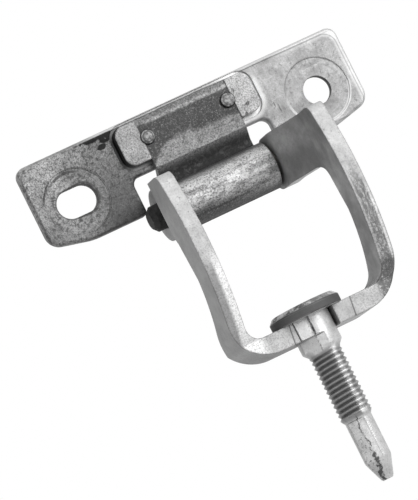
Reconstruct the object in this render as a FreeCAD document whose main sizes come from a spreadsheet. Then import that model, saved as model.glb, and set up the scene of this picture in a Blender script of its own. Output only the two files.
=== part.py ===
import FreeCAD, Part
import math
import os

# Tailgate hinge: a stamped mounting plate with a rolled knuckle leaf, and a swan-neck
# yoke with a threaded stud that swings about the hinge pin.
# Frame: X along the hinge pin, Y into the panel that carries the plate, Z up.
# The origin is on the back face of the plate, midway between its two bolt holes.

V = FreeCAD.Vector

SIZES = {
    "plate_thick": 2.6,
    "plate_rise": 15.5,
    "plate_drop": 12.0,
    "plate_end_drop": 9.0,
    "plate_toe": 13.0,
    "plate_corner": 3.0,
    "edge_roll": 0.9,
    "hole_span": 80.0,
    "hole_bore": 8.5,
    "slot_span": 12.6,
    "seat_bore": 19.6,
    "seat_sink": 0.35,
    "end_margin": 3.2,
    "notch_width": 45.2,
    "notch_crest": 1.0,
    "notch_corner": 2.5,
    "leaf_thick": 2.4,
    "wing_width": 44.6,
    "wing_foot": 1.8,
    "wing_gap_top": 1.4,
    "wing_corner": 3.2,
    "groove_width": 1.1,
    "groove_sink": 0.9,
    "strap_relief": 0.35,
    "barrel_length": 29.8,
    "barrel_bore": 9.6,
    "pin_drop": 14.5,
    "pin_forward": 7.5,
    "seam_sink": 1.3,
    "button_reach": 13.3,
    "button_drop": 7.4,
    "button_width": 4.4,
    "button_rise": 0.7,
    "pin_width": 7.8,
    "pin_fit": 0.05,
    "pin_stub": 4.0,
    "pin_bevel": 1.3,
    "rivet_width": 11.0,
    "rivet_rise": 2.6,
    "flange_width": 12.6,
    "flange_thick": 0.8,
    "bush_length": 11.0,
    "side_play": 0.3,
    "arm_thick": 4.7,
    "arm_spread": 44.6,
    "neck_reach": 36.0,
    "top_setback": 2.6,
    "base_setback": 9.9,
    "waist_depth": 11.5,
    "waist_drop": 15.0,
    "top_round": 3.5,
    "fold_depth": 14.5,
    "fold_round": 6.0,
    "ramp_depth": 14.0,
    "corner_round": 5.0,
    "eye_width": 16.0,
    "base_drop": 51.3,
    "base_thick": 5.8,
    "base_depth": 17.0,
    "base_round": 13.0,
    "base_inner_round": 4.6,
    "neck_ease": 1.2,
    "stud_offset": 2.0,
    "stud_inset": 5.0,
    "neck_width": 12.4,
    "neck_length": 3.4,
    "neck_cone": 1.6,
    "neck_flat": 4.7,
    "slot_play": 0.3,
    "head_width": 21.6,
    "head_thick": 3.8,
    "head_bevel": 1.4,
    "thread_width": 9.8,
    "thread_length": 20.0,
    "pilot_width": 8.1,
    "pilot_length": 12.5,
    "pilot_flat": 3.0,
    "tip_width": 3.6,
    "tip_length": 6.4,
    "flat_turn": 35.0,
}

doc = FreeCAD.newDocument("TailgateHinge")
sheet = doc.addObject("Spreadsheet::Sheet", "Sizes")
for row, (alias, number) in enumerate(SIZES.items(), start=1):
    sheet.set("A%d" % row, alias)
    sheet.set("B%d" % row, str(number))
    sheet.setAlias("B%d" % row, alias)
doc.recompute()


def size(alias):
    """A driving dimension from the sheet."""
    return float(sheet.get(alias))


# Shared places, worked out from the driving dimensions
pin_y = -size("pin_forward")
pin_z = -size("pin_drop")
plate_front = -size("plate_thick")
leaf_front = plate_front - size("leaf_thick")
barrel_radius = size("barrel_bore") / 2 + size("leaf_thick")
ear_inner = size("barrel_length") / 2 + size("flange_thick") + size("side_play")
ear_outer = ear_inner + size("arm_thick")
arm_inner = size("arm_spread") / 2
arm_outer = arm_inner + size("arm_thick")
eye_radius = size("eye_width") / 2
arm_top = pin_z + eye_radius
base_bottom = pin_z - size("base_drop")
base_top = base_bottom + size("base_thick")
bow_y = pin_y - size("neck_reach")
base_front = bow_y + size("base_setback")
stud_x = -size("stud_offset")
stud_y = base_front + size("stud_inset")


def rounded(corners):
    """Edges of a closed outline; each corner is (a, b, radius) and is rounded by an arc."""
    count = len(corners)
    entries, exits, mids = [], [], []
    for i, (a, b, radius) in enumerate(corners):
        corner = V(a, b, 0)
        before = V(*corners[i - 1][:2], 0) - corner
        after = V(*corners[(i + 1) % count][:2], 0) - corner
        before.normalize()
        after.normalize()
        half = before.getAngle(after) / 2
        if radius <= 0 or abs(half - math.pi / 2) < 1e-6:
            entries.append(corner)
            exits.append(corner)
            mids.append(None)
            continue
        reach = radius / math.tan(half)
        inward = before + after
        inward.normalize()
        centre = corner + inward * (radius / math.sin(half))
        entries.append(corner + before * reach)
        exits.append(corner + after * reach)
        mids.append(centre - inward * radius)
    edges = []
    for i in range(count):
        if mids[i] is not None:
            edges.append(Part.Arc(entries[i], mids[i], exits[i]))
        start, end = exits[i], entries[(i + 1) % count]
        if (end - start).Length > 1e-6:
            edges.append(Part.LineSegment(start, end))
    return edges


def circle(a, b, radius):
    """One full circle as sketch geometry."""
    return [Part.Circle(V(a, b, 0), V(0, 0, 1), radius)]


def new_body(name):
    """A body that is one sub-part of the hinge."""
    body = doc.addObject("PartDesign::Body", name)
    body.Label = name
    return body


def add_sketch(body, name, plane, geometry, offset=0.0):
    """A sketch on one of the body's own origin planes, pushed out along its normal."""
    sketch = body.newObject("Sketcher::SketchObject", name)
    origin_plane = [f for f in body.Origin.OriginFeatures if f.Role == plane][0]
    sketch.AttachmentSupport = [(origin_plane, "")]
    sketch.MapMode = "FlatFace"
    sketch.AttachmentOffset = FreeCAD.Placement(V(0, 0, offset), FreeCAD.Rotation())
    sketch.addGeometry(geometry, False)
    doc.recompute()
    return sketch


def pad(body, name, sketch, length, both=False, flip=False):
    """A pad whose length follows a sheet expression."""
    feature = body.newObject("PartDesign::Pad", name)
    feature.Profile = sketch
    feature.Midplane = both
    feature.Reversed = flip
    feature.setExpression("Length", length)
    doc.recompute()
    return feature


def pocket(body, name, sketch, length, both=False, flip=False):
    """A pocket whose depth follows a sheet expression; it must remove material."""
    before = body.Shape.Volume
    feature = body.newObject("PartDesign::Pocket", name)
    feature.Profile = sketch
    feature.Midplane = both
    feature.Reversed = flip
    feature.setExpression("Length", length)
    doc.recompute()
    assert body.Shape.Volume < before - 1e-3, name + " cuts nothing"
    return feature


def edges_where(shape, test):
    """Names of the edges whose middle point passes the test."""
    names = []
    for i, edge in enumerate(shape.Edges, start=1):
        if test(edge):
            names.append("Edge%d" % i)
    return names


def middle(edge):
    """The point halfway along an edge."""
    return edge.valueAt((edge.FirstParameter + edge.LastParameter) / 2)


def dress(body, kind, name, edge_names, expression):
    """A fillet or chamfer on the tip of a body."""
    tip = body.Tip
    feature = body.newObject("PartDesign::" + kind, name)
    feature.Base = (tip, edge_names)
    feature.setExpression("Radius" if kind == "Fillet" else "Size", expression)
    doc.recompute()
    return feature


# Mounting plate: a stamped blank with two lobes, a notch for the ears of the yoke,
# coined bolt seats and a groove round the wings of the leaf

def lobed_outline():
    """The plate's outline in X and Z, with its notch between the two lobes."""
    half = size("hole_span") / 2 + size("seat_bore") / 2 + size("end_margin")
    notch = size("notch_width") / 2
    top = size("plate_rise")
    low = -size("plate_drop")
    low_end = -size("plate_end_drop")
    toe = half - size("plate_toe")
    crest = -size("notch_crest")
    corner = size("plate_corner")
    inner = size("notch_corner")
    right = [(half, top, corner), (half, low_end, corner * 1.5), (toe, low, 6.0 * corner),
             (notch, low, corner / 2), (notch, crest, inner)]
    left = [(-x, z, r) for x, z, r in reversed(right)]
    return rounded(right + left)


def wing_outline(grow):
    """The leaf's wings in X and Z, grown by a margin."""
    half = size("wing_width") / 2 + grow
    top = size("plate_rise") - size("wing_gap_top") + grow
    foot = size("wing_foot") - grow
    corner = size("wing_corner") + grow
    return rounded([(half, top, corner), (half, foot, corner), (-half, foot, corner), (-half, top, corner)])


hole_x = size("hole_span") / 2
slot_shift = (size("slot_span") - size("hole_bore")) / 2
hole_radius = size("hole_bore") / 2

plate = new_body("mounting_plate")
blank = add_sketch(plate, "PlateOutline", "XZ_Plane", lobed_outline())
pad(plate, "PlateBlank", blank, "Sizes.plate_thick")
plate_rim = edges_where(plate.Shape, lambda e: abs(middle(e).y - plate_front) < 1e-3)
dress(plate, "Fillet", "RolledEdge", plate_rim, "Sizes.edge_roll")
slot = rounded([(-hole_x + slot_shift + hole_radius, hole_radius, hole_radius - 1e-3),
                (-hole_x + slot_shift + hole_radius, -hole_radius, hole_radius - 1e-3),
                (-hole_x - slot_shift - hole_radius, -hole_radius, hole_radius - 1e-3),
                (-hole_x - slot_shift - hole_radius, hole_radius, hole_radius - 1e-3)])
holes = add_sketch(plate, "BoltHoles", "XZ_Plane", circle(hole_x, 0, hole_radius) + slot)
pocket(plate, "HolePunch", holes, "Sizes.plate_thick * 2", flip=False, both=True)
seat_radius = size("seat_bore") / 2
seats = add_sketch(plate, "BoltSeats", "XZ_Plane",
                   circle(hole_x, 0, seat_radius) + circle(-hole_x, 0, seat_radius), -plate_front)
pocket(plate, "SeatCoin", seats, "Sizes.seat_sink", flip=False)
groove = add_sketch(plate, "LeafGroove", "XZ_Plane",
                    wing_outline(size("groove_width")) + wing_outline(-size("groove_width")), -plate_front)
pocket(plate, "GroovePress", groove, "Sizes.groove_sink", flip=False)

# Knuckle leaf: wings on the plate, a strap that steps back below the notch and curls
# round the pin, with the end of the curl against the strap

strap_back = pin_y + barrel_radius
strap_front = strap_back - size("leaf_thick")
strap_face = leaf_front + size("strap_relief")
valley_z = pin_z + math.sqrt(barrel_radius ** 2 - (strap_front - pin_y) ** 2)
strap_top = size("plate_rise") - size("wing_gap_top")
bend_z = -size("notch_crest") - size("leaf_thick")

leaf = new_body("knuckle_leaf")
wings = add_sketch(leaf, "WingOutline", "XZ_Plane", wing_outline(0), -plate_front)
pad(leaf, "WingBlank", wings, "Sizes.leaf_thick")


def strap_section():
    """The strap and its curl in Y and Z, with a seam where the curl ends."""
    seam = size("seam_sink")
    start = V(strap_front, valley_z + seam * 0.6, 0)
    low = V(strap_front, valley_z - seam, 0)
    mouth_y = strap_front - seam * 0.9
    mouth = V(mouth_y, pin_z + math.sqrt(barrel_radius ** 2 - (mouth_y - pin_y) ** 2), 0)
    back = V(strap_back, pin_z, 0)
    under = V(pin_y - barrel_radius * math.cos(math.pi / 4), pin_z - barrel_radius * math.sin(math.pi / 4), 0)
    points = [back, V(strap_back, bend_z, 0), V(plate_front, bend_z + size("leaf_thick"), 0),
              V(plate_front, strap_top, 0), V(strap_face, strap_top, 0),
              V(strap_face, bend_z + size("leaf_thick"), 0), V(strap_front, bend_z - size("leaf_thick") / 2, 0),
              start, low, mouth]
    edges = [Part.LineSegment(points[i], points[i + 1]) for i in range(len(points) - 1)]
    return edges + [Part.Arc(mouth, under, back)]


section = add_sketch(leaf, "StrapSection", "YZ_Plane", strap_section())
pad(leaf, "StrapCurl", section, "Sizes.barrel_length", both=True)
bore = add_sketch(leaf, "BarrelBore", "YZ_Plane", circle(pin_y, pin_z, size("barrel_bore") / 2))
pocket(leaf, "BoreReam", bore, "Sizes.barrel_length * 2", both=True)
relief = add_sketch(leaf, "StrapRelief", "XZ_Plane", rounded([
    (size("barrel_length") / 2, strap_top + 1, 0), (size("barrel_length") / 2, bend_z, 0),
    (-size("barrel_length") / 2, bend_z, 0), (-size("barrel_length") / 2, strap_top + 1, 0)]), -leaf_front)
pocket(leaf, "ReliefPress", relief, "Sizes.strap_relief", flip=False)
wing_rim = edges_where(leaf.Shape, lambda e: abs(middle(e).y - leaf_front) < 1e-3
                       and abs(abs(middle(e).x) - size("barrel_length") / 2) > 1e-3)
dress(leaf, "Fillet", "WingEdge", wing_rim, "Sizes.strap_relief")


def turned(name, profile, base, axis):
    """A turned piece: (radius, height) pairs revolved about an axis through base."""
    points = [V(r, 0, z) for r, z in profile]
    wire = Part.makePolygon(points + [points[0]])
    solid = Part.Face(wire).revolve(V(0, 0, 0), V(0, 0, 1), 360)
    if solid.Volume < 0:
        solid.reverse()
    feature = doc.addObject("Part::Feature", name)
    feature.Label = name
    feature.Shape = solid
    feature.Placement = FreeCAD.Placement(base, FreeCAD.Rotation(V(0, 0, 1), axis))
    return feature


# Weld buttons: two domed plugs that hold the leaf to the plate
button_radius = size("button_width") / 2
button_z = size("plate_rise") - size("button_drop")
button_hole = add_sketch(leaf, "ButtonHoles", "XZ_Plane",
                         circle(size("button_reach"), button_z, button_radius)
                         + circle(-size("button_reach"), button_z, button_radius))
pocket(leaf, "ButtonPunch", button_hole, "Sizes.plate_thick * 6", both=True)
for side, sign in (("left", -1), ("right", 1)):
    rise = size("leaf_thick") + size("button_rise")
    dome = [(0, 0), (button_radius, 0), (button_radius, rise - size("button_rise") * 0.6),
            (button_radius * 0.8, rise - size("button_rise") * 0.15), (button_radius * 0.45, rise), (0, rise)]
    turned("weld_button_" + side, dome, V(sign * size("button_reach"), plate_front, button_z), V(0, -1, 0))

# Bushes: flanged sleeves pressed into both ends of the barrel
bush_bore = size("pin_width") / 2 + size("pin_fit")
for side, sign in (("left", -1), ("right", 1)):
    sleeve = size("barrel_bore") / 2
    flange = size("flange_width") / 2
    lip = size("flange_thick")
    length = size("bush_length")
    ring = [(bush_bore, -length), (sleeve, -length), (sleeve, 0), (flange, 0), (flange, lip), (bush_bore, lip)]
    turned("bush_" + side, ring, V(sign * size("barrel_length") / 2, pin_y, pin_z), V(sign, 0, 0))

# Hinge pin: a plain shank, a bevelled stub on the left and a closed rivet head on the right
pin_radius = size("pin_width") / 2
bevel = size("pin_bevel")
left_end = -ear_outer - size("pin_stub")
right_end = ear_outer
rivet = size("rivet_width") / 2
pin_profile = [(0, left_end), (pin_radius - bevel, left_end), (pin_radius, left_end + bevel),
               (pin_radius, right_end), (rivet, right_end), (rivet, right_end + size("rivet_rise") * 0.4),
               (rivet * 0.7, right_end + size("rivet_rise")), (0, right_end + size("rivet_rise"))]
turned("hinge_pin", pin_profile, V(0, pin_y, pin_z), V(1, 0, 0))

# Yoke: a forged fork. Seen from the side it is one blank with a bowed front edge, a waist
# and an eye; seen from above its strips fold inwards to the ends of the barrel.

fold_y = bow_y + size("fold_depth")
ramp_end = fold_y + size("ramp_depth")
waist_y = bow_y + size("waist_depth")
base_back = base_front + size("base_depth")
ear_low = pin_z - eye_radius
eye_back = pin_y + eye_radius
waist_z = ear_low - size("waist_drop")
X_AXIS, Y_AXIS, Z_AXIS = V(1, 0, 0), V(0, 1, 0), V(0, 0, 1)
width = 2 * arm_outer


def prism(edges, first, second, shift, direction):
    """A solid prism of an outline drawn along two axes, from a shifted plane."""
    third = first.cross(second)
    matrix = FreeCAD.Matrix(first.x, second.x, third.x, shift.x,
                            first.y, second.y, third.y, shift.y,
                            first.z, second.z, third.z, shift.z,
                            0, 0, 0, 1)
    wire = Part.Wire(Part.__sortEdges__([e.toShape() for e in edges]))
    solid = Part.Face(wire.transformed(matrix)).extrude(direction)
    if solid.Volume < 0:
        solid.reverse()
    return solid


def side_outline():
    """The whole yoke seen from the side, in Y and Z."""
    shoulder = size("top_round")
    step = shoulder * (1 - math.sqrt(0.5))
    top_y = bow_y + size("top_setback")
    corner = size("corner_round")
    turn = corner * (1 - math.sqrt(0.5))
    neck_y = waist_y + size("neck_ease")
    rise = waist_z - base_top
    flare = base_back - waist_y
    top_front = V(top_y, arm_top - shoulder, 0)
    top_flat = V(top_y + shoulder, arm_top, 0)
    bow_end = V(base_front, base_top, 0)
    low_front = V(base_front, base_bottom, 0)
    low_back = V(base_back, base_bottom, 0)
    back_top = V(base_back, base_top, 0)
    corner_low = V(neck_y, ear_low - corner, 0)
    corner_top = V(neck_y + corner, ear_low, 0)
    waist = V(waist_y, waist_z, 0)
    flare_mid = V(base_back - flare * 0.62, base_top + rise * 0.4, 0)
    return [Part.Arc(top_flat, V(top_y + step, arm_top - step, 0), top_front),
            Part.Arc(top_front, V(bow_y, (arm_top + base_top) / 2, 0), bow_end),
            Part.LineSegment(bow_end, low_front), Part.LineSegment(low_front, low_back),
            Part.LineSegment(low_back, back_top), Part.Arc(back_top, flare_mid, waist),
            Part.LineSegment(waist, corner_low),
            Part.Arc(corner_low, V(neck_y + turn, ear_low - turn, 0), corner_top),
            Part.LineSegment(corner_top, V(pin_y, ear_low, 0)),
            Part.Arc(V(pin_y, ear_low, 0), V(eye_back, pin_z, 0), V(pin_y, arm_top, 0)),
            Part.LineSegment(V(pin_y, arm_top, 0), top_flat)]


def fork_outline():
    """The strips below their waist and the base seen from the front, in X and Z."""
    outer = size("base_round")
    inner = size("base_inner_round")
    return rounded([(arm_outer, waist_z, 0), (arm_outer, base_bottom, outer),
                    (-arm_outer, base_bottom, outer), (-arm_outer, waist_z, 0),
                    (-arm_inner, waist_z, 0), (-arm_inner, base_top, inner),
                    (arm_inner, base_top, inner), (arm_inner, waist_z, 0)])


def strip_plan(sign):
    """One strip above its waist seen from above, in X and Y: flat, ramp and cheek of the eye."""
    bend = size("fold_round")
    front = bow_y - size("arm_thick")
    back = eye_back + size("arm_thick")
    corners = [(arm_outer, front, 0), (arm_outer, fold_y, bend), (ear_outer, ramp_end, bend),
               (ear_outer, back, 0), (ear_inner, back, 0), (ear_inner, ramp_end, bend),
               (arm_inner, fold_y, bend), (arm_inner, front, 0)]
    return rounded([(sign * x, y, r) for x, y, r in corners])


blank = prism(side_outline(), Y_AXIS, Z_AXIS, V(-arm_outer - 1, 0, 0), V(width + 2, 0, 0))
fork = prism(fork_outline(), X_AXIS, Z_AXIS, V(0, eye_back, 0), V(0, bow_y - eye_back - 2, 0))
yoke_shape = blank.common(fork)
for sign in (-1, 1):
    plan = prism(strip_plan(sign), X_AXIS, Y_AXIS, V(0, 0, waist_z), V(0, 0, arm_top - waist_z + 2))
    yoke_shape = yoke_shape.fuse(blank.common(plan))
yoke_shape = yoke_shape.removeSplitter()
pin_hole = Part.makeCylinder(pin_radius, width, V(-arm_outer, pin_y, pin_z), X_AXIS)
slot_radius = size("neck_width") / 2 + size("slot_play")
stud_hole = Part.makeCylinder(slot_radius, size("base_thick") * 3, V(stud_x, stud_y, base_bottom - 5), Z_AXIS)
slot_mouth = Part.makeBox(slot_radius * 2, size("stud_inset") + 3, size("base_thick") * 3,
                          V(stud_x - slot_radius, base_front - 3, base_bottom - 5))
yoke_shape = yoke_shape.cut(pin_hole).cut(stud_hole).cut(slot_mouth)
yoke = doc.addObject("Part::Feature", "yoke")
yoke.Label = "yoke"
yoke.Shape = yoke_shape

# Stud: a flat head inside the yoke, a neck with a flat in the slot, the threaded shank
# and a pilot with a flat and a cone
neck_radius = size("neck_width") / 2
thread_radius = size("thread_width") / 2
pilot_radius = size("pilot_width") / 2
head_radius = size("head_width") / 2
head_low = base_top
neck_low = base_bottom - size("neck_length")
thread_top = neck_low - size("neck_cone")
thread_low = thread_top - size("thread_length")
pilot_top = thread_low - (thread_radius - pilot_radius) * 1.6
pilot_low = pilot_top - size("pilot_length")
tip_low = pilot_low - size("tip_length")
stud_profile = [(0, head_low + size("head_thick")), (head_radius - size("head_bevel"), head_low + size("head_thick")),
                (head_radius, head_low + size("head_thick") - size("head_bevel")), (head_radius, head_low),
                (neck_radius, head_low), (neck_radius, neck_low), (thread_radius, thread_top),
                (thread_radius, thread_low), (pilot_radius, pilot_top), (pilot_radius, pilot_low),
                (size("tip_width") / 2, tip_low), (0, tip_low)]
stud = turned("stud", stud_profile, V(stud_x, stud_y, 0), Z_AXIS)


def flat_cutter(distance, low, high):
    """The block that cuts a flat on the stud, at a distance from its axis, turned to the left."""
    reach = size("neck_width")
    block = Part.makeBox(2 * reach, reach, high - low, V(-reach, -reach - distance, low))
    block.rotate(V(0, 0, 0), Z_AXIS, -size("flat_turn"))
    block.translate(V(stud_x, stud_y, 0))
    return block


stud_shape = stud.Shape.cut(flat_cutter(size("neck_flat"), thread_top, base_top))
stud_shape = stud_shape.cut(flat_cutter(size("pilot_flat"), tip_low, pilot_top))
stud.Placement = FreeCAD.Placement()
stud.Shape = stud_shape

doc.recompute()

NODES = ["mounting_plate", "knuckle_leaf", "weld_button_left", "weld_button_right", "bush_left",
         "bush_right", "hinge_pin", "yoke", "stud"]
for item in doc.Objects:
    broken = [state for state in item.State if state in ("Invalid", "Error")]
    assert not broken, item.Label + " failed"
os.makedirs("parts", exist_ok=True)
for label in NODES:
    part = doc.getObjectsByLabel(label)[0]
    assert not part.Shape.isNull() and part.Shape.isValid(), label + " is not valid"
    print(label, len(part.Shape.Solids), round(part.Shape.Volume, 1), part.Shape.BoundBox)
    part.Shape.exportStep("parts/%s.step" % label)
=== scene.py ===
import math

import bmesh
import bpy
from mathutils import Matrix, Vector


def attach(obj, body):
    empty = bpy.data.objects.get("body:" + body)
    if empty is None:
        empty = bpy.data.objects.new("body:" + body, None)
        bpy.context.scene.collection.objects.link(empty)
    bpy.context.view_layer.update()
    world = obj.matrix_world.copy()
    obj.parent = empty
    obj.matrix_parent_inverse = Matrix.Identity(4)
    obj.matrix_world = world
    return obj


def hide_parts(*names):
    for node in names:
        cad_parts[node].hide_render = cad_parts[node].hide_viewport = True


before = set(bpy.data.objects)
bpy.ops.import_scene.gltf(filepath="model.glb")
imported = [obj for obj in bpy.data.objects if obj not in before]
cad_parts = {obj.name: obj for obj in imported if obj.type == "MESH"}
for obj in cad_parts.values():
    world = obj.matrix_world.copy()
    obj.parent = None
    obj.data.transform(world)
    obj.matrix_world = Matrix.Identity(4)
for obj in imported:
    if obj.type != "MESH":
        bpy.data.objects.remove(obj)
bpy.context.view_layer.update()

# A tailgate hinge on a white floor: worn plate and rolled leaf, pale forged yoke, bright stud.
# Lengths are in metres, in the frame of the CAD model: X to the right, Y to the rear, Z up.

MM = 0.001

# Places that the stud's mesh shares with the solid that it replaces
STUD_X, STUD_Y = -2.0 * MM, -28.6 * MM
HEAD_TOP, HEAD_LOW = -56.2 * MM, -60.0 * MM
BASE_BOTTOM = -65.8 * MM
NECK_LOW, THREAD_TOP = -69.2 * MM, -70.8 * MM
THREAD_LOW = -90.8 * MM
PILOT_TOP, PILOT_LOW, TIP_LOW = -92.16 * MM, -104.66 * MM, -111.06 * MM
HEAD_RADIUS, HEAD_BEVEL = 10.8 * MM, 1.4 * MM
NECK_RADIUS, THREAD_RADIUS, PILOT_RADIUS, TIP_RADIUS = 6.2 * MM, 4.9 * MM, 4.05 * MM, 1.8 * MM
NECK_FLAT, PILOT_FLAT = 4.7 * MM, 3.0 * MM
FLAT_TURN = math.radians(-35)

# The thread's helix, with the lengths over which it fades out at its ends
THREAD_PITCH, THREAD_DEPTH = 1.5 * MM, 0.55 * MM
FADE_TOP, FADE_LOW, FADE_OVERRUN = 1.2 * MM, 1.0 * MM, 0.5 * MM
ROOT_SHARE, FLANK_SHARE = 0.12, 0.76

# The shoulder that fills the slot: half the slot's width, its front face, and where it ends
SLOT_HALF, FRONT_FLUSH, SHOULDER_END = 6.2 * MM, 5.0 * MM, 1.5 * MM

# How finely the stud is meshed
POINTS_AROUND, THREAD_ROWS = 144, 260
SOFT_CORNER = 0.25 * MM
SHARP_ANGLE = math.radians(32)

# Places on the plate and the leaf that stains and marks are laid out from
HOLE_X, SLOT_TRAVEL = 40.0 * MM, 2.05 * MM
SEAT_RADIUS = 9.8 * MM
BUTTON_X, BUTTON_Z = 13.3 * MM, 8.1 * MM

# Rounded boxes: half of the width, low edge, high edge, corner radius
PLATE_BOX = (53.0 * MM, -12.0 * MM, 15.5 * MM, 5.0 * MM)
WINGS_BOX = (22.3 * MM, 1.8 * MM, 14.1 * MM, 3.5 * MM)

# The photograph's view: direction, roll, distance and focal length in pixels
VIEW_AZIMUTH, VIEW_ELEVATION, VIEW_ROLL = -16.81, -4.19, -26.54
VIEW_DISTANCE, VIEW_FOCAL = 1.495, 5239.0
VIEW_TARGET = Vector((-15.04 * MM, -15.0 * MM, -29.75 * MM))
PHOTO_HEIGHT = 500
SENSOR = 36.0

# The stage: the floor's size and level, how much the floor glows for the camera, and the sky's light
FLOOR_HALF, FLOOR_LEVEL = 4.0, -0.16
FLOOR_GLOW, SKY_LIGHT = 0.85, 0.40

# Lamps: name, place, the point they face, width and power in watts
LAMPS = (("key_lamp", (0.45, -0.8, 0.25), (0, -0.02, -0.03), 0.5, 7.0),
         ("fill_lamp", (-0.8, -0.5, -0.05), (0, -0.02, -0.05), 0.6, 1.8),
         ("top_lamp", (-0.1, -0.1, 0.8), (0, -0.02, -0.03), 0.5, 1.8))

# Edges: samples for their softening, and how far a surface turns from flat to fully an edge (cosines)
BEVEL_SAMPLES = 6
FLAT_COSINE, EDGE_COSINE = 0.995, 0.75

# The shader's specular level where a surface is clean and where it is dull
CLEAN_SHINE, DULL_SHINE = 0.5, 0.08


# Materials: every one is made of noise layers in object space, so that it stays with the piece.
# A mask is 1 where a coat covers the surface and 0 where it leaves it bare. In a coat, the number
# in front is its grey, and a number after the masks is its strength.

class Shade:
    """A node material that is built up by small steps."""

    def __init__(self, name):
        self.material = bpy.data.materials.new(name)
        self.material.use_nodes = True
        self.tree = self.material.node_tree
        self.tree.nodes.clear()
        self.output = self.tree.nodes.new("ShaderNodeOutputMaterial")
        self.shader = self.tree.nodes.new("ShaderNodeBsdfPrincipled")
        self.link(self.shader.outputs[0], self.output.inputs["Surface"])
        coordinates = self.tree.nodes.new("ShaderNodeTexCoord")
        self.place = coordinates.outputs["Object"]
        self.normal = coordinates.outputs["Normal"]

    def link(self, source, target):
        self.tree.links.new(source, target)

    def axis(self, name, shift=0.0):
        """One coordinate of the object's space."""
        node = self.tree.nodes.new("ShaderNodeSeparateXYZ")
        self.link(self.place, node.inputs[0])
        return self.calc("ADD", node.outputs[name], shift) if shift else node.outputs[name]

    def facing(self, name):
        """How much the surface faces along one axis of the object."""
        node = self.tree.nodes.new("ShaderNodeSeparateXYZ")
        self.link(self.normal, node.inputs[0])
        return node.outputs[name]

    def stretched(self, scale, turn=0.0):
        """The object's coordinates, stretched and turned about Y, for grain that runs one way."""
        mapping = self.tree.nodes.new("ShaderNodeMapping")
        mapping.inputs["Scale"].default_value = scale
        mapping.inputs["Rotation"].default_value = (0, math.radians(turn), 0)
        self.link(self.place, mapping.inputs["Vector"])
        return mapping.outputs[0]

    def noise(self, scale, detail, roughness, place=None):
        """Noise with its scale per metre. Most of its values lie between 0.3 and 0.7."""
        node = self.tree.nodes.new("ShaderNodeTexNoise")
        node.inputs["Scale"].default_value = scale
        node.inputs["Detail"].default_value = detail
        node.inputs["Roughness"].default_value = roughness
        self.link(place or self.place, node.inputs["Vector"])
        return node.outputs["Fac"]

    def calc(self, kind, first, second=0.0):
        """One step of arithmetic."""
        node = self.tree.nodes.new("ShaderNodeMath")
        node.operation = kind
        for slot, value in zip(node.inputs, (first, second)):
            if isinstance(value, (int, float)):
                slot.default_value = value
            else:
                self.link(value, slot)
        return node.outputs[0]

    def unsigned(self, value):
        return self.calc("ABSOLUTE", value)

    def squares(self, first, second):
        return self.calc("ADD", self.calc("POWER", first, 2.0), self.calc("POWER", second, 2.0))

    def distance(self, first, second):
        """The distance that two steps at a right angle add up to."""
        return self.calc("SQRT", self.squares(first, second))

    def span(self, source, low, high, start=0.0, end=1.0, smooth=False):
        """A value moved from one span to another, and held at its ends."""
        node = self.tree.nodes.new("ShaderNodeMapRange")
        node.interpolation_type = "SMOOTHSTEP" if smooth else "LINEAR"
        node.inputs["From Min"].default_value = low
        node.inputs["From Max"].default_value = high
        node.inputs["To Min"].default_value = start
        node.inputs["To Max"].default_value = end
        self.link(source, node.inputs["Value"])
        return node.outputs[0]

    def band(self, source, low, high, soft=0.0002):
        """1 between two values, 0 outside them."""
        return self.both(self.span(source, low - soft, low), self.span(source, high + soft, high))

    def both(self, *masks):
        """The part that all masks share; a plain number weakens it."""
        shared = masks[0]
        for mask in masks[1:]:
            shared = self.calc("MULTIPLY", shared, mask)
        return shared

    def either(self, *masks):
        """The part that any of the masks covers."""
        joined = masks[0]
        for mask in masks[1:]:
            joined = self.calc("MAXIMUM", joined, mask)
        return joined

    def mix(self, share, first, second):
        """A mix of two greys or colours by a share from 0 to 1."""
        node = self.tree.nodes.new("ShaderNodeMix")
        node.data_type = "RGBA"
        self.link(share, node.inputs[0])
        for slot, value in ((node.inputs[6], first), (node.inputs[7], second)):
            if isinstance(value, float):
                value = (value, value, value)
            if isinstance(value, tuple):
                slot.default_value = (*value, 1)
            else:
                self.link(value, slot)
        return node.outputs[2]

    def coats(self, base, *layers):
        """Coats over a base, one after another: (grey or colour, mask, mask, ...)."""
        for colour, *masks in layers:
            base = self.mix(self.both(*masks), base, colour)
        return base

    def bevelled(self, radius):
        """The surface's normal, rounded over its edges."""
        bevel = self.tree.nodes.new("ShaderNodeBevel")
        bevel.samples = BEVEL_SAMPLES
        bevel.inputs["Radius"].default_value = radius
        return bevel.outputs[0]

    def edge(self, radius=0.5 * MM):
        """How much a surface turns within a radius: 0 on flats, towards 1 on edges."""
        flat = self.tree.nodes.new("ShaderNodeNewGeometry")
        turn = self.tree.nodes.new("ShaderNodeVectorMath")
        turn.operation = "DOT_PRODUCT"
        self.link(self.bevelled(radius), turn.inputs[0])
        self.link(flat.outputs["Normal"], turn.inputs[1])
        return self.span(turn.outputs["Value"], FLAT_COSINE, EDGE_COSINE)

    def finish(self, colour, rough, height, strength=0.3, depth=0.0004, metal=0.0, soften=0.0, ior=1.5,
               dull=None):
        """Colour, roughness and bump go to the shader, edges are softened, dull parts lose their shine."""
        self.link(colour, self.shader.inputs["Base Color"])
        self.link(rough, self.shader.inputs["Roughness"])
        self.shader.inputs["Metallic"].default_value = metal
        self.shader.inputs["IOR"].default_value = ior
        if dull is not None:
            shine = self.span(dull, 0.0, 1.0, CLEAN_SHINE, DULL_SHINE)
            self.link(shine, self.shader.inputs["Specular IOR Level"])
        bump = self.tree.nodes.new("ShaderNodeBump")
        bump.inputs["Strength"].default_value = strength
        bump.inputs["Distance"].default_value = depth
        self.link(height, bump.inputs["Height"])
        if soften:
            self.link(self.bevelled(soften), bump.inputs["Normal"])
        self.link(bump.outputs[0], self.shader.inputs["Normal"])
        return self.material


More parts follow.
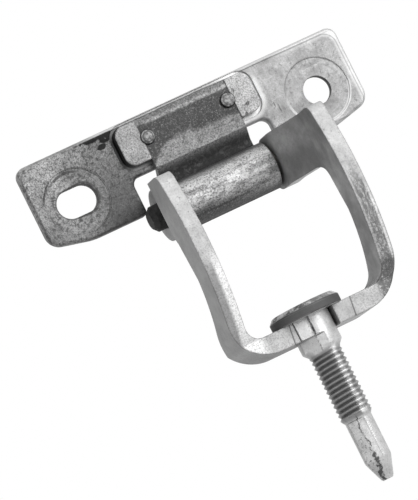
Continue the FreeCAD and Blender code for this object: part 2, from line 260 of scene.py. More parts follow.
def warm(value, share):
    """A grey with its red and blue moved apart by a share of it."""
    return (value * (1 + share), value, value * (1 - share))


def reach_from(shade, hole_x):
    """The distance from the middle of a hole, seen from the front."""
    return shade.distance(shade.axis("X", -hole_x), shade.axis("Z"))


def ring(shade, reach, radius, width):
    """A thin ring round a point: 1 on the line, 0 away from it."""
    off = shade.unsigned(shade.calc("SUBTRACT", reach, radius))
    return shade.span(off, 0.0, width, 1.0, 0.0, smooth=True)


def spots(shade, soft, *ovals):
    """Soft ovals on the front of the object, given as x, z, half width and half height."""
    masks = []
    for x, z, wide, high in ovals:
        across = shade.calc("MULTIPLY", shade.axis("X", -x), 1.0 / wide)
        up = shade.calc("MULTIPLY", shade.axis("Z", -z), 1.0 / high)
        masks.append(shade.span(shade.squares(across, up), 1.0, 1.0 - soft, smooth=True))
    return shade.either(*masks)


def outside_box(shade, half_x, low_z, high_z, corner):
    """How far a point lies outside a rounded box that is centred on X, below 0 within it."""
    middle, half_z = (low_z + high_z) / 2, (high_z - low_z) / 2
    across = shade.calc("SUBTRACT", shade.unsigned(shade.axis("X")), half_x - corner)
    up = shade.calc("SUBTRACT", shade.unsigned(shade.axis("Z", -middle)), half_z - corner)
    far = shade.distance(shade.calc("MAXIMUM", across, 0.0), shade.calc("MAXIMUM", up, 0.0))
    return shade.calc("SUBTRACT", far, corner)


def slot_dirt(shade, x, z):
    """Dirt along the edge of the plate's slot, wider towards the leaf."""
    along = shade.calc("SUBTRACT", shade.unsigned(shade.axis("X", HOLE_X)), SLOT_TRAVEL)
    gap = shade.distance(shade.calc("MAXIMUM", along, 0.0), z)
    beyond = shade.calc("SUBTRACT", gap, shade.span(x, -0.043, -0.036, 0.00445, 0.00500))
    return shade.span(beyond, 0.0003, -0.0001)


def seat_arcs(shade, x, z, reach, broken, torn):
    """Dark broken arcs on the seat round the plate's slot."""
    seat_edge = shade.band(reach, 0.0096, 0.0100)
    upper = shade.both(shade.band(reach, 0.0086, 0.0092), shade.span(z, 0.0, 0.002),
                       shade.band(x, -0.0445, -0.0370, 0.0015), torn)
    side = shade.both(shade.band(reach, 0.0097, 0.0100), shade.span(x, -0.040, -0.036), broken)
    lower = shade.both(seat_edge, shade.span(x, -0.0378, -0.0355), shade.span(z, -0.0010, -0.0030), 0.8)
    left = shade.both(seat_edge, shade.span(x, -0.0452, -0.0466), shade.span(z, 0.0024, 0.0040), torn)
    near = shade.both(shade.band(reach, 0.0070, 0.0074), torn, broken, 0.6)
    return shade.either(upper, side, lower, left, near)


def plate_material():
    """Zinc on steel: speckled grey, darker to the left lobe's inner end, rings and grease, painted light and
    shade on the rim.
    """
    shade = Shade("worn_zinc_plate")
    blotch = shade.noise(150, 6, 0.75)
    broad = shade.noise(45, 3, 0.5)
    patches = shade.noise(95, 5, 0.65)
    speckle = shade.noise(1900, 4, 0.85)
    coarse = shade.noise(760, 5, 0.75)
    scuff = shade.noise(500, 4, 0.7, shade.stretched((0.15, 1.0, 1.0), 55))
    wipes = shade.noise(330, 5, 0.7, shade.stretched((1.0, 1.0, 0.25), 30))
    broken = shade.span(shade.noise(260, 4, 0.7), 0.42, 0.56)
    torn = shade.span(shade.noise(520, 4, 0.75), 0.36, 0.50)

    x, y, z = shade.axis("X"), shade.axis("Y"), shade.axis("Z")
    left = shade.span(x, 0.002, -0.002)
    right = shade.span(x, -0.024, 0.022, smooth=True)
    wall = shade.span(shade.unsigned(shade.facing("Y")), 0.6, 0.4)
    front = shade.span(shade.facing("Y"), -0.3, -0.6)
    right_front = shade.both(right, front)
    slot_reach, hole_reach = reach_from(shade, -HOLE_X), reach_from(shade, HOLE_X)
    nearest = shade.calc("MINIMUM", slot_reach, hole_reach)

    # The ground: blotches, scuffs and dirt, darker at the left lobe's inner end and low on the left lobe
    inner = shade.both(shade.span(slot_reach, 0.0092, 0.0104, smooth=True),
                       shade.span(x, -0.040, -0.033), shade.span(x, -0.012, -0.020))
    dirt = shade.mix(right, 0.022, 0.20)
    base = shade.coats(
        shade.mix(right, 0.30, 0.32),
        (0.22, shade.span(broad, 0.35, 0.7, 0.0, 0.35)),
        (0.12, shade.span(blotch, 0.46, 0.66, 0.0, 0.65)),
        (0.66, shade.span(scuff, 0.56, 0.72, 0.0, 0.35)),
        (0.032, inner, shade.span(z, 0.013, -0.007, 0.50, 1.0, smooth=True),
         shade.span(blotch, 0.66, 0.40, 0.65, 1.0)),
        (0.11, left, shade.span(patches, 0.50, 0.64), 0.45),
        (0.46, left, shade.span(patches, 0.46, 0.34), shade.span(z, 0.002, 0.008), 0.3),
        (dirt, shade.span(speckle, 0.46, 0.60, 0.0, 0.85)),
        (dirt, shade.span(coarse, 0.54, 0.64, 0.0, 0.6)),
        (0.13, inner, shade.span(speckle, 0.44, 0.36), 0.5),
        (0.012, inner, shade.span(coarse, 0.50, 0.58), 0.6),
        (0.09, left, shade.span(z, 0.006, -0.010), 0.35))

    # The left seat: darker towards the leaf, with dirt round the slot and broken arcs. Painted light on
    # the step at the edge of both seats evens out its shade
    seat_step_light = shade.both(wall, shade.span(nearest, 0.0093, 0.0096), shade.span(nearest, 0.0101, 0.0099))
    base = shade.coats(
        base,
        (0.07, left, front, shade.span(slot_reach, 0.0104, 0.0092), shade.span(x, -0.040, -0.030),
         shade.span(blotch, 0.66, 0.42, 0.5, 0.8)),
        (0.015, left, shade.span(coarse, 0.51, 0.59), 0.5),
        (0.30, left, shade.span(speckle, 0.42, 0.34), 0.3),
        (0.012, left, front, slot_dirt(shade, x, z), shade.span(coarse, 0.38, 0.48, 0.5, 0.9)),
        # painted light on the seats' steps, against their shade
        (0.70, seat_step_light, 0.9),
        (0.02, seat_arcs(shade, x, z, slot_reach, broken, torn), front, 0.85))

    # The right lobe: faint rings round the hole, wiped dirt, and painted light on the seat's lower edge
    # against its shade
    faint = shade.either(ring(shade, hole_reach, SEAT_RADIUS, 0.0006),
                         ring(shade, hole_reach, 0.0080, 0.0004))
    base = shade.coats(
        base,
        (0.12, faint, front, broken, 0.35),
        (0.16, right_front, shade.span(wipes, 0.54, 0.64), 0.6),
        (0.17, right_front, shade.span(patches, 0.48, 0.60), 0.4),
        (0.06, right_front, shade.span(coarse, 0.57, 0.63), 0.5),
        # painted light on the lower edge of the right seat, softening the step's shade
        (0.60, right_front, shade.band(hole_reach, 0.0095, 0.0101), shade.span(z, 0.002, -0.003), 0.6))

    # Grease strokes on the left, two scratches on the right, and a painted highlight on the bulge outside the
    # groove
    smear = spots(shade, 1.0, (-0.0280, 0.0146, 0.0062, 0.0016), (-0.0242, 0.0141, 0.0034, 0.0028),
                  (-0.0262, 0.0113, 0.0022, 0.0011))
    ragged = shade.span(shade.noise(620, 5, 0.75), 0.34, 0.66, 0.3, 1.7)
    grease = shade.both(shade.span(shade.both(smear, ragged), 0.34, 0.52), front)
    scratches = spots(shade, 0.6, (0.0272, -0.0002, 0.00028, 0.0017), (0.0262, 0.0014, 0.00024, 0.0010))
    groove = outside_box(shade, *WINGS_BOX)
    ridge_highlight = shade.band(groove, 0.0006, 0.0018, 0.0010)
    base = shade.coats(
        base,
        (0.008, grease, 0.95),
        (0.06, scratches, front, torn, 0.8),
        # a painted highlight on the bulge outside the groove
        (0.55, ridge_highlight, shade.span(x, 0.005, 0.012), shade.span(z, 0.0135, 0.011), 0.6))

    # The rim: painted shade on the left, and painted highlights on the right and along the top, each with a
    # painted shade line inside it
    rim = outside_box(shade, *PLATE_BOX)
    flank = shade.span(shade.unsigned(x), 0.0300, 0.0360)
    top = shade.span(x, -0.034, -0.026, 0.25, 1.0)
    base = shade.coats(
        base,
        # painted shade along the left rim
        (0.03, shade.band(rim, -0.0006, -0.0004, 0.0003), left, flank, 0.6),
        # a painted highlight on the right rim, with a painted shade line inside it
        (0.62, shade.span(rim, -0.0024, -0.0014), right, flank, shade.span(x, 0.043, 0.051, 0.5, 1.0), 0.65),
        (0.10, shade.band(rim, -0.0014, -0.0012), right, flank, 0.5),
        # a painted highlight along the top edge, with a painted shade line under it
        (0.45, shade.span(z, 0.0146, 0.0149), top),
        (0.02, shade.band(z, 0.0143, 0.0145, 0.0001), shade.span(x, 0.046, 0.010, 0.3, 0.85), top))

    # The groove round the wings, with painted shade on the left and painted light on the right, painted shade
    # on the holes' walls, and darker edges on the left lobe
    deep = shade.both(shade.span(groove, 0.0013, 0.0011), shade.span(y, -0.0025, -0.0023),
                      shade.span(y, -0.0008, -0.0010))
    left_groove_shade = shade.both(deep, left)
    below_top = shade.span(z, 0.0146, 0.0143)
    hole_wall_shade = shade.both(wall, shade.span(nearest, 0.0072, 0.0068))
    away = shade.either(shade.span(slot_reach, 0.0105, 0.0110), shade.span(slot_reach, 0.0088, 0.0084))
    base = shade.coats(
        base,
        # painted shade in the groove on the left, lighter towards its bottom
        (0.14, left_groove_shade, below_top),
        (0.30, left_groove_shade, shade.span(z, 0.0034, 0.0020), 0.8),
        (0.012, left_groove_shade, below_top, shade.span(groove, 0.0004, 0.0002),
         shade.span(z, 0.0016, 0.0044, 0.25, 1.0)),
        # painted light in the groove on the right, against its shade
        (0.66, deep, shade.span(x, 0.010, 0.016), 0.95),
        # painted shade on the holes' walls
        (0.012, hole_wall_shade, 0.95),
        # darker edges on the left lobe
        (0.05, shade.edge(), left, away, shade.span(z, 0.0120, 0.0080), 0.6))

    rough = shade.span(blotch, 0.3, 0.7, 0.38, 0.6)
    height = shade.calc("ADD", shade.calc("MULTIPLY", speckle, 0.6), coarse)
    dull = shade.either(hole_wall_shade, shade.both(left_groove_shade, shade.span(z, 0.0016, 0.0040)), grease)
    return shade.finish(base, rough, height, 0.3, 0.0003, metal=0.4, soften=0.00035, dull=dull)


def leaf_material():
    """The rolled leaf: light speckled wings, a dark strap, painted shade where it meets the barrel, whose
    front has a painted highlight.
    """
    shade = Shade("stained_leaf")
    blotch = shade.noise(190, 6, 0.75)
    broad = shade.noise(110, 4, 0.6)
    speckle = shade.noise(2000, 4, 0.85)
    coarse = shade.noise(800, 5, 0.75)
    streak = shade.noise(420, 5, 0.75, shade.stretched((0.22, 1.0, 1.0)))
    wiped = shade.noise(240, 5, 0.7, shade.stretched((0.12, 1.0, 1.0)))

    x, y, z = shade.axis("X"), shade.axis("Y"), shade.axis("Z")
    right = shade.span(x, -0.012, 0.022, smooth=True)
    strap = shade.span(shade.unsigned(x), 0.0152, 0.0147)
    forward = shade.span(shade.facing("Y"), 0.35, 0.10)
    wall = shade.both(shade.span(shade.unsigned(shade.facing("Y")), 0.6, 0.4), shade.span(z, 0.0005, 0.0012))
    lit_barrel_front = shade.span(y, -0.0098, -0.0142, smooth=True)

    # The wings and the strap: dark between the buttons, lighter along the top, painted highlights on the
    # strap's bend below the buttons and in a line along the top, and painted shade where it curls into the
    # barrel
    ragged = shade.calc("ADD", z, shade.span(broad, 0.3, 0.7, -0.0012, 0.0012))
    ragged = shade.calc("ADD", ragged, shade.span(x, -0.0145, -0.0080, 0.0045, 0.0))
    base = shade.coats(
        shade.mix(right, 0.31, 0.42),
        (0.16, shade.span(broad, 0.50, 0.64), shade.span(strap, 1.0, 0.0), 0.45),
        (shade.mix(shade.span(broad, 0.40, 0.62), 0.038, 0.020), strap),
        # a painted highlight on the strap's bend below the buttons
        (0.23, strap, shade.span(ragged, 0.0052, 0.0036, smooth=True), 0.9),
        (0.15, strap, shade.span(z, 0.0120, 0.0126), 0.9),
        # a painted highlight line along the top of the strap
        (0.36, strap, shade.band(z, 0.0120, 0.0124, 0.0006), shade.span(x, -0.0140, -0.0095),
         shade.span(streak, 0.38, 0.60, 0.2, 1.0)),
        # painted shade where the strap curls into the barrel
        (0.045, strap, forward, shade.span(z, -0.0012, -0.0036, smooth=True)),
        (0.16, shade.span(forward, 1.0, 0.0)))

    # The barrel: a painted highlight over its front, streaked along its length, darker below, with the curl's
    # seam
    base = shade.coats(
        base,
        # a painted highlight over the barrel's front
        (0.64, lit_barrel_front),
        (0.10, lit_barrel_front, shade.span(streak, 0.44, 0.58), 0.7),
        (0.09, lit_barrel_front, shade.span(wiped, 0.48, 0.60), shade.span(z, -0.0128, -0.0150), 0.6),
        (0.06, shade.span(z, -0.0160, -0.0205, smooth=True), shade.span(x, 0.012, -0.004, 0.05, 0.90)),
        (0.015, shade.band(z, -0.0196, -0.0192), lit_barrel_front, shade.span(x, 0.010, 0.004), 0.8))

    # Dirt all over, and painted shade with lighter patches in the valley where the strap meets the barrel
    valley_shade = shade.both(strap, forward, shade.span(z, -0.0012, -0.0036), shade.span(y, -0.0108, -0.0080))
    open_part = shade.span(valley_shade, 1.0, 0.0, 0.3, 1.0)
    base = shade.coats(
        base,
        (0.09, shade.span(blotch, 0.46, 0.7, 0.0, 0.45)),
        (0.02, shade.span(speckle, 0.46, 0.62, 0.0, 0.8)),
        (0.02, shade.span(coarse, 0.57, 0.66, 0.0, 0.6)),
        (0.42, shade.span(speckle, 0.44, 0.36, 0.0, 0.35), open_part),
        # painted shade in the valley
        (0.040, valley_shade, 0.6),
        (0.13, valley_shade, shade.span(coarse, 0.50, 0.58), shade.span(broad, 0.42, 0.56), 0.6))

    # Small marks on the right wing, and the wings' walls: painted shade on the left, painted light on the
    # right
    marks = spots(shade, 0.6, (0.0184, 0.0047, 0.0011, 0.0007), (0.0166, 0.0022, 0.0006, 0.0006),
                  (0.0160, 0.0100, 0.0005, 0.0008))
    base = shade.coats(
        base,
        (0.02, marks, shade.span(coarse, 0.40, 0.50), 0.85),
        # painted shade on the wings' left walls
        (0.016, wall, shade.span(x, 0.016, 0.010), shade.span(z, 0.0016, 0.0044, 0.6, 0.95)),
        # painted light on the wings' right walls
        (0.80, wall, shade.span(x, 0.016, 0.019), 0.9))

    rough = shade.either(shade.span(blotch, 0.3, 0.7, 0.34, 0.55), shade.both(valley_shade, 0.85))
    height = shade.calc("ADD", speckle, shade.calc("MULTIPLY", coarse, 0.8))
    return shade.finish(base, rough, height, 0.35, 0.0003, metal=0.4, soften=0.0003, ior=1.4,
                        dull=shade.both(valley_shade, 0.6))


def yoke_material():
    """Pale zinc on a forging: sand-like grain, streaks along the strips, smooth grey sides."""
    shade = Shade("forged_zinc")
    blotch = shade.noise(170, 6, 0.7)
    clouds = shade.noise(75, 4, 0.55)
    sand = shade.noise(2000, 4, 0.85)
    coarse = shade.noise(800, 5, 0.75)
    streak = shade.noise(900, 5, 0.75, shade.stretched((1.0, 1.0, 0.10), -4))
    fine = shade.noise(1700, 4, 0.8, shade.stretched((1.0, 1.0, 0.30), -4))

    x, z = shade.axis("X"), shade.axis("Z")
    across = shade.unsigned(x)
    sideways = shade.span(shade.unsigned(shade.facing("X")), 0.55, 0.9, smooth=True)
    inside = shade.span(shade.both(shade.facing("X"), x), -0.002, -0.008)
    downwards = shade.span(shade.facing("Z"), -0.45, -0.85, smooth=True)
    left, right = shade.span(x, -0.010, -0.014), shade.span(x, 0.010, 0.014)
    low = shade.span(z, -0.032, -0.038)

    # The front strips: painted shade and a painted highlight on the left arm, grit and a painted highlight on
    # the right arm, grit on its lower corner, then streaks and sand-like grain all over
    strip = shade.both(right, shade.span(z, -0.024, -0.034), shade.band(across, 0.0232, 0.0258, 0.0006))
    corner = shade.both(shade.span(x, 0.0185, 0.0200), shade.span(z, -0.053, -0.056))
    grit = shade.either(shade.span(coarse, 0.42, 0.50), shade.span(sand, 0.44, 0.52))
    base = shade.coats(
        shade.mix(shade.span(blotch, 0.35, 0.7), 0.50, 0.34),
        # painted shade on the left arm's outer facet
        (0.22, left, low, shade.span(x, -0.0238, -0.0246), 0.7),
        # a painted highlight on the left arm's inner strip
        (0.80, shade.span(x, -0.0170, -0.0205), low, shade.span(x, -0.0250, -0.0240)),
        (0.09, strip, shade.span(fine, 0.42, 0.52), shade.span(streak, 0.30, 0.48, 0.5, 1.0), 0.9),
        # a painted highlight near the right arm's outer edge
        (0.75, right, low, shade.band(across, 0.0262, 0.0266, 0.0003), 0.8),
        (0.045, corner, grit, 0.9),
        (0.25, shade.span(streak, 0.54, 0.70, 0.0, 0.5), low),
        (0.13, shade.span(sand, 0.48, 0.62, 0.0, 0.65), shade.span(z, -0.020, -0.036, 0.5, 1.0)),
        (0.08, shade.span(coarse, 0.58, 0.67, 0.0, 0.6)))

    # The base's front: a duller patch right of the stud, and a fine line on each side
    base_front = shade.both(shade.span(z, -0.0580, -0.0595), shade.span(shade.facing("Y"), -0.3, -0.6))
    base = shade.coats(base, (0.34, shade.band(x, 0.0042, 0.0103), base_front, 0.5))
    bent = shade.calc("ADD", x, shade.span(z, -0.066, -0.060, 0.0008, 0.0))
    for line_x in (-0.0096, 0.0103):
        base = shade.coats(base, (0.05, shade.band(bent, line_x, line_x + 0.0002), base_front,
                                  shade.span(coarse, 0.34, 0.44), 0.8))

    # The arms' sides, darker on the inner faces as grease and painted shade, painted shade on the left of the
    # underside, and darker edges
    side = shade.coats(
        # the inner faces darker: partly grease, partly painted shade
        shade.mix(inside, 0.27, 0.235),
        (0.11, inside, shade.span(clouds, 0.48, 0.60), 0.6),
        (0.42, inside, shade.span(clouds, 0.48, 0.38), 0.6),
        (0.10, shade.span(blotch, 0.42, 0.72), 0.3),
        (0.08, shade.span(sand, 0.50, 0.66), 0.3))
    dark_edge = shade.either(shade.both(shade.span(coarse, 0.40, 0.52), low, 0.8), 0.4)
    base = shade.coats(
        base,
        (side, sideways),
        # painted shade on the underside, left of the stud
        (0.15, downwards, shade.span(x, 0.006, 0.002), 0.9),
        # darker edges
        (0.03, shade.edge(), shade.either(left, right), dark_edge))

    rough = shade.span(blotch, 0.3, 0.7, 0.42, 0.6)
    height = shade.both(shade.calc("ADD", sand, shade.calc("MULTIPLY", streak, 0.7)),
                        shade.span(sideways, 0.0, 1.0, 1.0, 0.25))
    return shade.finish(base, rough, height, 0.35, 0.0003, metal=0.25, soften=0.0008)


def stud_material():
    """Bright zinc on a turned stud: painted shade on its head's side and in the thread, dark lines along the
    flats.
    """
    shade = Shade("bright_zinc_stud")
    blotch = shade.noise(260, 5, 0.7)
    speckle = shade.noise(2200, 4, 0.8)
    torn = shade.span(shade.noise(700, 4, 0.75), 0.44, 0.52)
    x, y, z = shade.axis("X", -STUD_X), shade.axis("Y", -STUD_Y), shade.axis("Z")
    reach = shade.distance(x, y)
    forward = shade.span(y, 0.0, -0.001)

    # The thread: painted shade on both sides and in the roots, and a painted highlight down its front
    threaded = shade.both(shade.span(z, THREAD_TOP + 0.0008, THREAD_TOP - 0.0002),
                          shade.span(z, THREAD_LOW - 0.0012, THREAD_LOW - 0.0002))
    root = shade.both(threaded, shade.span(reach, THREAD_RADIUS - 0.0001, THREAD_RADIUS - THREAD_DEPTH))
    drift = shade.calc("ADD", x, shade.span(blotch, 0.3, 0.7, -0.0008, 0.0008))
    shadow = shade.both(threaded, shade.span(drift, 0.0016, 0.0000), shade.span(y, 0.002, -0.001))
    base = shade.coats(
        shade.mix(shade.span(blotch, 0.35, 0.7), 0.56, 0.38),
        # lighter painted shade on the thread's right side
        (0.26, threaded, shade.span(drift, 0.0020, 0.0030), 0.8),
        # painted shade on the thread's left side
        (0.17, shadow, 0.85),
        # a painted highlight down the thread's front
        (0.80, threaded, shade.band(drift, 0.0010, 0.0018, 0.0006), forward, 0.8),
        # painted shade in the thread's roots, deeper on the left
        (0.025, root, shade.span(drift, 0.0016, 0.0000, 0.6, 0.92)))

    # The head: a stained crown, painted shade on its side and a dark line between them
    crown = shade.both(shade.span(z, -0.0577, -0.0573), shade.span(shade.noise(420, 5, 0.75), 0.38, 0.54))
    head = shade.both(shade.span(reach, 0.0101, 0.0106), shade.span(z, -0.0570, -0.0580))
    lip = shade.both(shade.span(reach, 0.0090, 0.0094), shade.band(z, -0.0578, -0.0575, 0.0001))
    base = shade.coats(
        base,
        (0.05, crown, shade.span(x, 0.008, -0.004, 0.45, 0.92)),
        # painted shade on the head's side
        (0.055, head, 0.95),
        (0.02, lip, 0.8))

    # The pilot: painted shade on the flat, a dark line along the flat's edge that widens to the tip, and
    # specks
    pilot = shade.both(shade.span(z, THREAD_LOW, THREAD_LOW - 0.001), forward)
    wobble = shade.calc("ADD", x, shade.span(blotch, 0.3, 0.7, -0.0006, 0.0006))
    widening = shade.span(z, PILOT_LOW + 0.004, PILOT_LOW, 0.0, 0.0004)
    off_line = shade.calc("SUBTRACT", shade.unsigned(shade.calc("ADD", wobble, 0.0014)), widening)
    specks = shade.span(shade.noise(1300, 4, 0.8), 0.56, 0.62)
    base = shade.coats(
        base,
        # painted shade on the pilot's flat
        (0.32, pilot, shade.span(wobble, -0.0013, -0.0016), 0.6),
        (0.015, shade.span(off_line, 0.0003, 0.0001), pilot, torn, 0.9),
        (0.06, specks, pilot, shade.span(x, -0.001, -0.002), 0.8))

    # The neck: a dark line at the shoulder's corner, painted shade under the yoke's base and on its left
    # half.
    # Fine specks lie over the whole stud
    neck = shade.both(shade.span(z, -0.0596, -0.0602),
                      shade.span(z, THREAD_TOP - 0.0002, THREAD_TOP + 0.0006))
    base = shade.coats(
        base,
        (0.02, neck, shade.band(x, -0.0018, -0.0016), forward, torn, 0.85),
        # painted shade under the yoke's base
        (0.03, shade.band(z, BASE_BOTTOM - 0.0003, BASE_BOTTOM - 0.0001, 0.0001), neck,
         shade.span(x, 0.001, 0.0), 0.85),
        # painted shade on the neck's left half
        (0.30, neck, shade.span(x, -0.0016, -0.0018), 0.7),
        (0.10, shade.span(speckle, 0.52, 0.68, 0.0, 0.5)))

    rough = shade.either(shade.span(blotch, 0.3, 0.7, 0.26, 0.45), shade.both(shade.either(head, crown), 0.7))
    height = shade.calc("ADD", speckle, shade.calc("MULTIPLY", blotch, 0.5))
    return shade.finish(base, rough, height, 0.25, 0.0002, metal=0.5, dull=shade.both(crown, 0.5))


def pin_material():
    """Black phosphate on the hinge pin, with painted grey highlights along its edges."""
    shade = Shade("black_pin")
    blotch = shade.noise(400, 4, 0.6)
    speckle = shade.noise(2400, 3, 0.7)
    base = shade.coats(shade.mix(shade.span(blotch, 0.35, 0.65), 0.012, 0.040),
                       # painted grey highlights along the edges
                       (0.09, shade.edge(), shade.span(blotch, 0.44, 0.56), 0.6))
    rough = shade.span(blotch, 0.3, 0.7, 0.5, 0.7)
    return shade.finish(base, rough, speckle, 0.25, 0.0002, soften=0.0003, ior=1.22)


def bush_material():
    """Oily sintered bronze."""
    shade = Shade("oily_bronze")
    blotch = shade.noise(500, 4, 0.6)
    pores = shade.noise(3000, 2, 0.6)
    base = shade.mix(shade.span(blotch, 0.35, 0.7), warm(0.03, 0.10), warm(0.015, 0.10))
    rough = shade.span(blotch, 0.3, 0.7, 0.4, 0.6)
    return shade.finish(base, rough, pores, 0.3, 0.0002, metal=0.5)


def button_material():
    """The staked buttons: a light rim, a dark ring, a speckled crater, and a dark band at the outer edge."""
    shade = Shade("staked_button")
    blotch = shade.noise(1100, 4, 0.7)
    speckle = shade.noise(2600, 3, 0.7)
    x = shade.axis("X")
    reach = shade.distance(shade.calc("SUBTRACT", shade.unsigned(x), BUTTON_X), shade.axis("Z", -BUTTON_Z))
    base = shade.coats(
        shade.mix(shade.span(blotch, 0.40, 0.60), 0.22, 0.06),
        (0.30, shade.band(reach, 0.00172, 0.00184), shade.span(blotch, 0.56, 0.44), 0.8),
        (0.03, shade.band(reach, 0.00136, 0.00162, 0.00012), shade.span(x, 0.0150, -0.0100, 0.45, 0.85)),
        (0.006, shade.span(reach, 0.00195, 0.0021)))
    rough = shade.span(blotch, 0.3, 0.7, 0.3, 0.5)
    return shade.finish(base, rough, speckle, 0.4, 0.0003, metal=0.4, soften=0.0003)


# Stud: a helical thread, flats on its neck and pilot, and a bevelled head, as one mesh

def thread_height(turns):
    """A rolled thread's profile along one pitch: rounded root, straight flanks, narrow crest."""
    share = abs((turns % 1.0) - 0.5) * 2.0
    return min(1.0, max(0.0, (share - ROOT_SHARE) / FLANK_SHARE))


def thread_radius(z, angle):
    """The stud's radius along the thread and the cone below it, at a height and an angle."""
    if z < THREAD_LOW:
        return PILOT_RADIUS + (THREAD_RADIUS - PILOT_RADIUS) * (z - PILOT_TOP) / (THREAD_LOW - PILOT_TOP)
    fade = min(1.0, (THREAD_TOP - z) / FADE_TOP, (z - THREAD_LOW + FADE_OVERRUN) / FADE_LOW)
    turns = z / THREAD_PITCH - angle / (2 * math.pi)
    return THREAD_RADIUS - THREAD_DEPTH * fade * (1.0 - thread_height(turns))


def flat_limit(angle, distance):
    """How far the surface may stand from the axis before the flat cuts it, without limit behind it."""
    facing = math.cos(angle - (math.radians(-90) + FLAT_TURN))
    return distance / facing if facing > 0.05 else math.inf


def shoulder_limit(angle):
    """The square half of the neck that fills the slot's left front, flush with the base."""
    across, forward = -math.cos(angle), -math.sin(angle)
    if forward < 0.0 or FRONT_FLUSH * across < SHOULDER_END * forward:
        return NECK_RADIUS
    tiny = 0.001
    return min(SLOT_HALF / max(across, tiny), FRONT_FLUSH / max(forward, tiny))


def stud_rows():
    """Rows from the head to the tip: height, radius (None: the thread's) and flat (None: round)."""
    soft = SOFT_CORNER
    rows = [(HEAD_TOP, HEAD_RADIUS - HEAD_BEVEL - 3 * soft, None),
            (HEAD_TOP, HEAD_RADIUS - HEAD_BEVEL - soft, None),
            (HEAD_TOP - 0.3 * soft, HEAD_RADIUS - HEAD_BEVEL, None),
            (HEAD_TOP - HEAD_BEVEL, HEAD_RADIUS - 0.2 * soft, None),
            (HEAD_TOP - HEAD_BEVEL - soft, HEAD_RADIUS, None),
            (HEAD_LOW + soft, HEAD_RADIUS, None),
            (HEAD_LOW, HEAD_RADIUS - soft, None),
            (HEAD_LOW, NECK_RADIUS + soft, None),
            (HEAD_LOW - 0.01 * MM, NECK_RADIUS, "shoulder"),
            (BASE_BOTTOM + 0.15 * MM, NECK_RADIUS, "shoulder"),
            (BASE_BOTTOM + 0.10 * MM, NECK_RADIUS, NECK_FLAT),
            (NECK_LOW + soft, NECK_RADIUS, NECK_FLAT),
            (NECK_LOW - soft, NECK_RADIUS - 0.3 * soft, NECK_FLAT),
            (THREAD_TOP, THREAD_RADIUS, NECK_FLAT)]
    for i in range(1, THREAD_ROWS):
        rows.append((THREAD_TOP + (PILOT_TOP - THREAD_TOP) * i / THREAD_ROWS, None, None))
    rows += [(PILOT_TOP, PILOT_RADIUS, None),
             (PILOT_TOP - soft, PILOT_RADIUS, PILOT_FLAT),
             (PILOT_LOW + soft, PILOT_RADIUS, PILOT_FLAT),
             (PILOT_LOW - soft, PILOT_RADIUS - 0.3 * soft, PILOT_FLAT),
             (TIP_LOW + 2 * soft, TIP_RADIUS + 0.6 * soft, PILOT_FLAT),
             (TIP_LOW, TIP_RADIUS - soft, PILOT_FLAT)]
    return rows


def add_object(name, data):
    """A new object in the scene."""
    item = bpy.data.objects.new(name, data)
    bpy.context.scene.collection.objects.link(item)
    return item


def build_stud():
    """The stud as rings of points joined row by row, closed at both ends."""
    mesh = bmesh.new()
    rings = []
    for z, radius, flat in stud_rows():
        points = []
        for i in range(POINTS_AROUND):
            angle = 2 * math.pi * i / POINTS_AROUND
            reach = thread_radius(z, angle) if radius is None else radius
            if flat == "shoulder":
                reach = shoulder_limit(angle)
            elif flat:
                reach = min(reach, flat_limit(angle, flat))
            place = (STUD_X + reach * math.cos(angle), STUD_Y + reach * math.sin(angle), z)
            points.append(mesh.verts.new(place))
        rings.append(points)
    for upper, lower in zip(rings, rings[1:]):
        for i in range(POINTS_AROUND):
            j = (i + 1) % POINTS_AROUND
            mesh.faces.new((upper[i], lower[i], lower[j], upper[j]))
    mesh.faces.new(rings[0])
    mesh.faces.new(list(reversed(rings[-1])))
    bmesh.ops.recalc_face_normals(mesh, faces=mesh.faces)
    data = bpy.data.meshes.new("stud_turned")
    mesh.to_mesh(data)
    mesh.free()
    for face in data.polygons:
        face.use_smooth = True
    data.set_sharp_from_angle(angle=SHARP_ANGLE)
    return add_object("stud_turned", data)


def dress(name, material):
    """A CAD node keeps its shape and takes a new material."""
    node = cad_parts[name]
    node.data.materials.clear()
    node.data.materials.append(material)


button = button_material()
bush = bush_material()
for name, material in (("mounting_plate", plate_material()), ("knuckle_leaf", leaf_material()),
                       ("weld_button_left", button), ("weld_button_right", button), ("bush_left", bush),
                       ("bush_right", bush), ("yoke", yoke_material()), ("hinge_pin", pin_material())):
    dress(name, material)

stud = build_stud()
stud.data.materials.append(stud_material())
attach(stud, "stud_side")
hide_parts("stud")


# Stage: a wide white floor under a white sky, soft lamps and the photograph's camera

def build_floor():
    """A wide flat floor below the stud's tip."""
    corners = ((-FLOOR_HALF, -FLOOR_HALF), (FLOOR_HALF, -FLOOR_HALF),
               (FLOOR_HALF, FLOOR_HALF), (-FLOOR_HALF, FLOOR_HALF))
    mesh = bmesh.new()
    mesh.faces.new([mesh.verts.new((x, y, FLOOR_LEVEL)) for x, y in corners])
    data = bpy.data.meshes.new("studio_floor")
    mesh.to_mesh(data)
    mesh.free()
    return add_object("studio_floor", data)


def seen_rays(tree):
    """1 for rays from the camera, from a mirror or through glass, 0 for rays that light the object."""
    path = tree.nodes.new("ShaderNodeLightPath")
    seen = path.outputs["Is Camera Ray"]
    for name in ("Is Glossy Ray", "Is Transmission Ray"):
        larger = tree.nodes.new("ShaderNodeMath")
        larger.operation = "MAXIMUM"
        tree.links.new(seen, larger.inputs[0])
        tree.links.new(path.outputs[name], larger.inputs[1])
        seen = larger.outputs[0]
    return seen


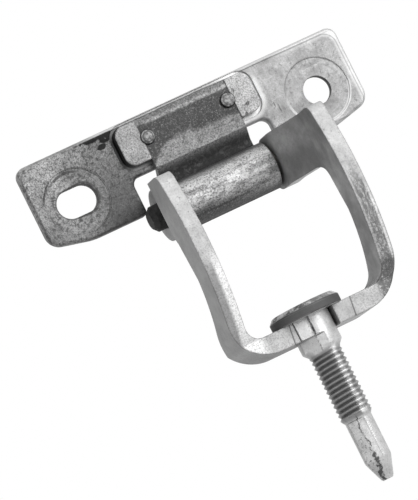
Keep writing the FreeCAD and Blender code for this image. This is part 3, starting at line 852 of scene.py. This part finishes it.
def floor_material():
    """White paper that the camera sees nearly white, and sees through from below."""
    shade = Shade("studio_white")
    paper = shade.mix(shade.span(shade.noise(6, 3, 0.5), 0.3, 0.7), 0.90, 0.93)
    rough = shade.span(shade.noise(40, 3, 0.5), 0.3, 0.7, 0.8, 0.9)
    shade.finish(paper, rough, shade.noise(300, 2, 0.5), 0.05)
    glow = shade.tree.nodes.new("ShaderNodeEmission")
    glow.inputs["Color"].default_value = (1, 1, 1, 1)
    glow.inputs["Strength"].default_value = 1.0
    clear = shade.tree.nodes.new("ShaderNodeBsdfTransparent")
    side = shade.tree.nodes.new("ShaderNodeNewGeometry")
    surface = shade.shader
    for share, layer in ((shade.both(seen_rays(shade.tree), FLOOR_GLOW), glow),
                         (side.outputs["Backfacing"], clear)):
        blend = shade.tree.nodes.new("ShaderNodeMixShader")
        shade.link(share, blend.inputs[0])
        shade.link(surface.outputs[0], blend.inputs[1])
        shade.link(layer.outputs[0], blend.inputs[2])
        surface = blend
    shade.link(surface.outputs[0], shade.output.inputs["Surface"])
    return shade.material


def white_world():
    """A soft even light from all sides, which the camera sees as plain white."""
    world = bpy.data.worlds.new("studio_air")
    bpy.context.scene.world = world
    world.use_nodes = True
    tree = world.node_tree
    sky = tree.nodes["Background"]
    sky.inputs["Color"].default_value = (1, 1, 1, 1)
    level = tree.nodes.new("ShaderNodeMapRange")
    level.inputs["To Min"].default_value = SKY_LIGHT
    level.inputs["To Max"].default_value = 1.0
    tree.links.new(seen_rays(tree), level.inputs["Value"])
    tree.links.new(level.outputs[0], sky.inputs["Strength"])


def add_lamp(name, place, target, width, power):
    """A soft square lamp that faces a point."""
    light = bpy.data.lights.new(name, "AREA")
    light.shape = "SQUARE"
    light.size = width
    light.energy = power
    lamp = add_object(name, light)
    lamp.location = place
    lamp.rotation_mode = "QUATERNION"
    lamp.rotation_quaternion = (Vector(target) - Vector(place)).to_track_quat("-Z", "Y")


def place_camera():
    """The camera at the photograph's angle, rolled so that the pin's axis rises to the right."""
    azimuth, elevation, roll = (math.radians(a) for a in (VIEW_AZIMUTH, VIEW_ELEVATION, VIEW_ROLL))
    back = Vector((math.sin(azimuth) * math.cos(elevation), -math.cos(azimuth) * math.cos(elevation),
                   math.sin(elevation)))
    right = Vector((0, 0, 1)).cross(back).normalized()
    up = back.cross(right)
    rolled_right = math.cos(roll) * right + math.sin(roll) * up
    rolled_up = -math.sin(roll) * right + math.cos(roll) * up
    turn = Matrix((rolled_right, rolled_up, back)).transposed().to_4x4()
    data = bpy.data.cameras.new("photo_camera")
    data.sensor_width = SENSOR
    data.lens = VIEW_FOCAL / PHOTO_HEIGHT * SENSOR
    data.clip_start, data.clip_end = 0.05, 20.0
    camera = add_object("photo_camera", data)
    camera.matrix_world = Matrix.Translation(VIEW_TARGET + back * VIEW_DISTANCE) @ turn
    bpy.context.scene.camera = camera


floor = build_floor()
floor.data.materials.append(floor_material())
white_world()
for lamp in LAMPS:
    add_lamp(*lamp)
place_camera()
bpy.context.scene.view_settings.view_transform = "Standard"
